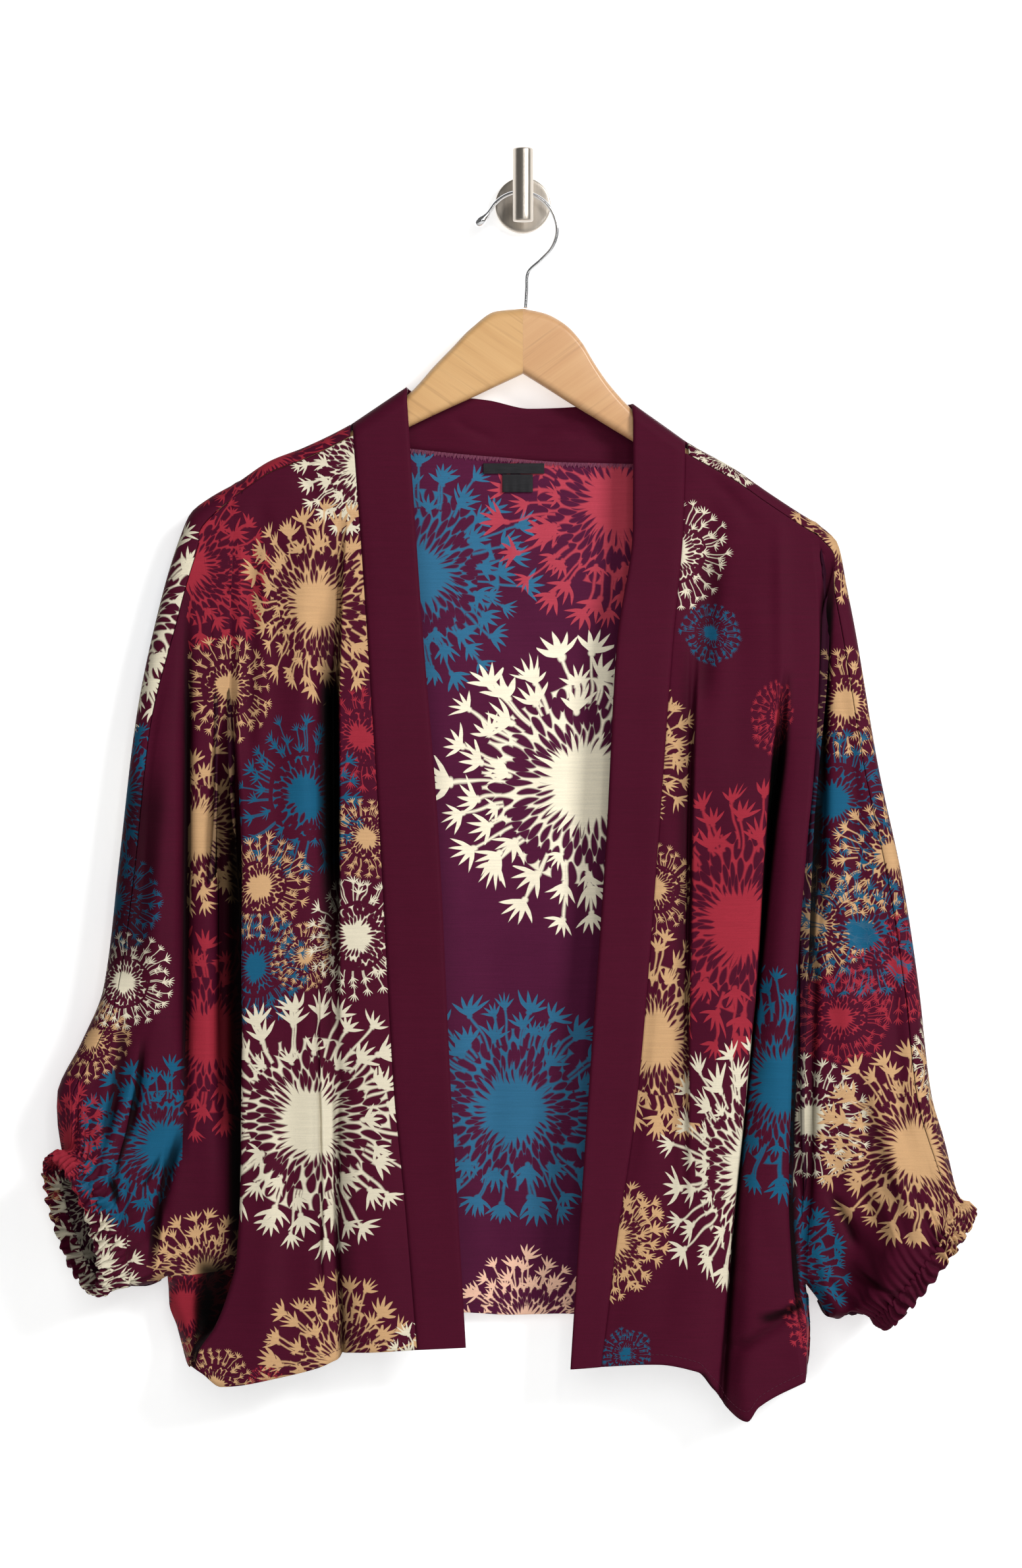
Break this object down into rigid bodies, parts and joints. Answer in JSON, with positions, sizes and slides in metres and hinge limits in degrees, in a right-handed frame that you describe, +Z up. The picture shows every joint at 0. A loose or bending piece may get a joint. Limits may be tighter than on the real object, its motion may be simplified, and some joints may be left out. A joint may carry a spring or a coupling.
{
  "type": "topper jacket on a hanger and wall hook",
  "caption": "Open-front topper jacket with batwing sleeves, gathered elastic cuffs and a wide front band, on a wooden hanger that hangs from a round wall hook.",
  "frame": {"origin": "centre of the back face of the wall hook's rose, on the wall", "axes": "+X to the viewer's right (the wearer's left), +Y into the wall, +Z up"},
  "size_m": [0.6495, 0.0941, 0.8812],
  "materials": {
    "printed_crepe": "matt printed crepe",
    "label_tape": "matt woven tape",
    "hanger_wood": "clear satin",
    "chrome_wire": "polished",
    "brushed_nickel": "satin"
  },
  "bodies": {
    "root": {"front_right": "printed_crepe", "front_left": "printed_crepe", "back": "printed_crepe", "band_right": "printed_crepe", "band_left": "printed_crepe", "band_neck": "printed_crepe", "cuff_right": "printed_crepe", "cuff_left": "printed_crepe", "label_main": "label_tape", "label_care": "label_tape", "hanger_arm_right": "hanger_wood", "hanger_arm_left": "hanger_wood", "hanger_hook": "chrome_wire", "wall_rose": "brushed_nickel", "wall_stem": "brushed_nickel", "wall_peg": "brushed_nickel"}
  },
  "joints": []
}
